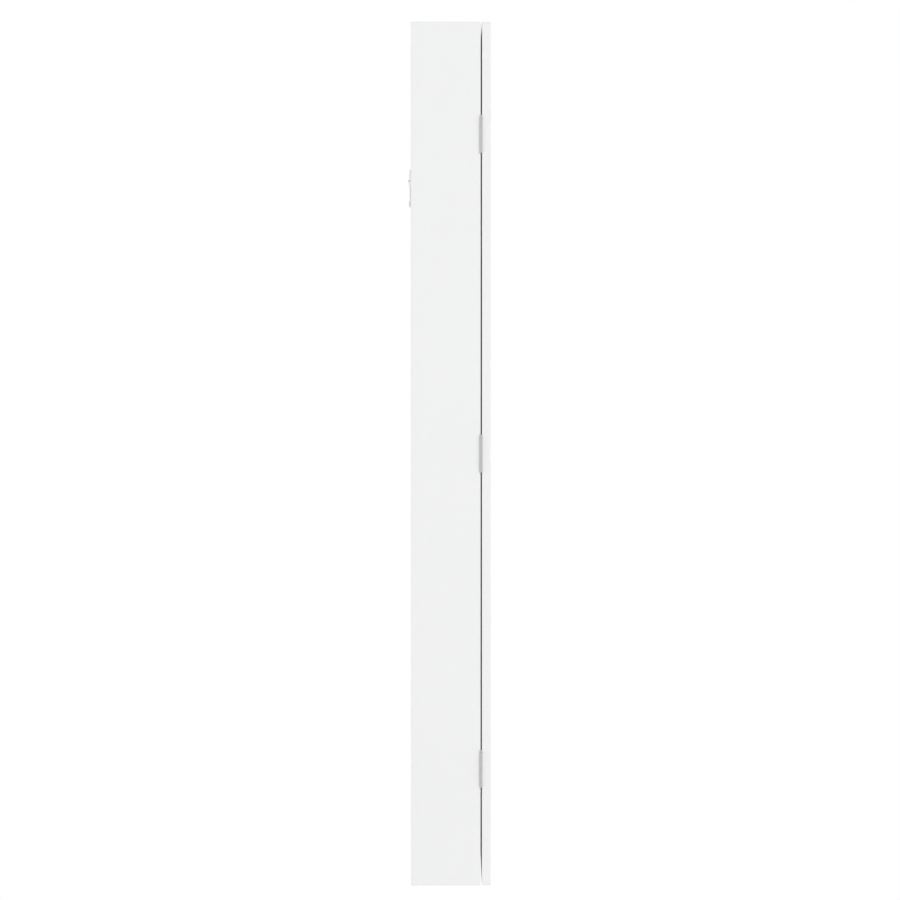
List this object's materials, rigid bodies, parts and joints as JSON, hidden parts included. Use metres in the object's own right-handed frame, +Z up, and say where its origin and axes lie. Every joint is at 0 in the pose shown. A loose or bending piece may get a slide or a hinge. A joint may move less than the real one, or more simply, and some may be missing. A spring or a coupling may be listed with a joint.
{
  "type": "jewelry mirror cabinet",
  "caption": "Slim wall-hung jewellery cabinet: framed mirror door on side butt hinges, white body with lined shelves, necklace hooks, ring cushion, bracelet rod and earring panel.",
  "frame": {"origin": "middle of the cabinet's lower rear edge, on the face that lies against the wall", "axes": "+Z up, +Y into the wall, so the mirror looks towards -Y; the hinges are on the -X side"},
  "size_m": [0.3028, 0.0863, 0.9],
  "materials": {
    "white_foil": "fibreboard wrapped in white satin foil",
    "hardboard": "plain brown hardboard",
    "velvet": "charcoal velvet",
    "pale_wood": "plain sawn hardwood",
    "white_wood": "white lacquer",
    "mirror": "silvered, clear",
    "nickel": "nickel plated",
    "plain_steel": "zinc plated",
    "clear_acrylic": "polished, clear",
    "white_plastic": "moulded, satin",
    "magnet": "sintered ferrite",
    "clear_rubber": "soft, clear"
  },
  "bodies": {
    "cabinet": {"side_panel_hinge": "white_foil", "side_panel_free": "white_foil", "bottom_panel": "white_foil", "top_panel": "white_foil", "corner_tongues": "pale_wood", "back_board": "hardboard", "back_lining": "velvet", "shelf_1": "white_foil", "shelf_2": "white_foil", "shelf_3": "white_foil", "shelf_4": "white_foil", "shelf_5": "white_foil", "shelf_mats": "velvet", "guard_rails": "white_wood", "bottom_guard_strip": "clear_acrylic", "ring_cushion": "velvet", "hook_rail": "white_wood", "necklace_hooks": "nickel", "bracelet_rod": "nickel", "hinge_leaf_cabinet_1": "nickel", "hinge_leaf_cabinet_2": "nickel", "hinge_leaf_cabinet_3": "nickel", "hinge_pin_1": "nickel", "hinge_pin_2": "nickel", "hinge_pin_3": "nickel", "hanger_strap_left": "nickel", "hanger_strap_right": "nickel", "hanger_screws": "plain_steel", "catch_housing_1": "white_plastic", "catch_housing_2": "white_plastic", "catch_magnets": "magnet", "catch_pole_plates": "plain_steel", "bumper_pads": "clear_rubber"},
    "door": {"door_stile_hinge": "white_foil", "door_stile_free": "white_foil", "door_rail_bottom": "white_foil", "door_rail_top": "white_foil", "mitre_keys": "pale_wood", "mirror_glass": "mirror", "door_back_board": "hardboard", "door_lining": "velvet", "back_board_tabs": "plain_steel", "earring_panel": "white_plastic", "panel_battens": "white_wood", "hinge_leaf_door_1": "nickel", "hinge_leaf_door_2": "nickel", "hinge_leaf_door_3": "nickel", "strike_plates": "plain_steel"},
    "hanger_ring_left": {"hanger_ring_left": "nickel"},
    "hanger_ring_right": {"hanger_ring_right": "nickel"}
  },
  "joints": [
    {"name": "door_hinge", "type": "hinge", "parent": "cabinet", "child": "door", "pos_m": [-0.1512, -0.0729, 0.4515], "axis": [0, 0, -1], "range_deg": [0, 180]},
    {"name": "left_ring_swing", "type": "hinge", "parent": "cabinet", "child": "hanger_ring_left", "pos_m": [-0.144, 0.00143, 0.7348], "axis": [-1, 0, 0], "range_deg": [0, 175]},
    {"name": "right_ring_swing", "type": "hinge", "parent": "cabinet", "child": "hanger_ring_right", "pos_m": [0.144, 0.00143, 0.7348], "axis": [-1, 0, 0], "range_deg": [0, 175]}
  ]
}
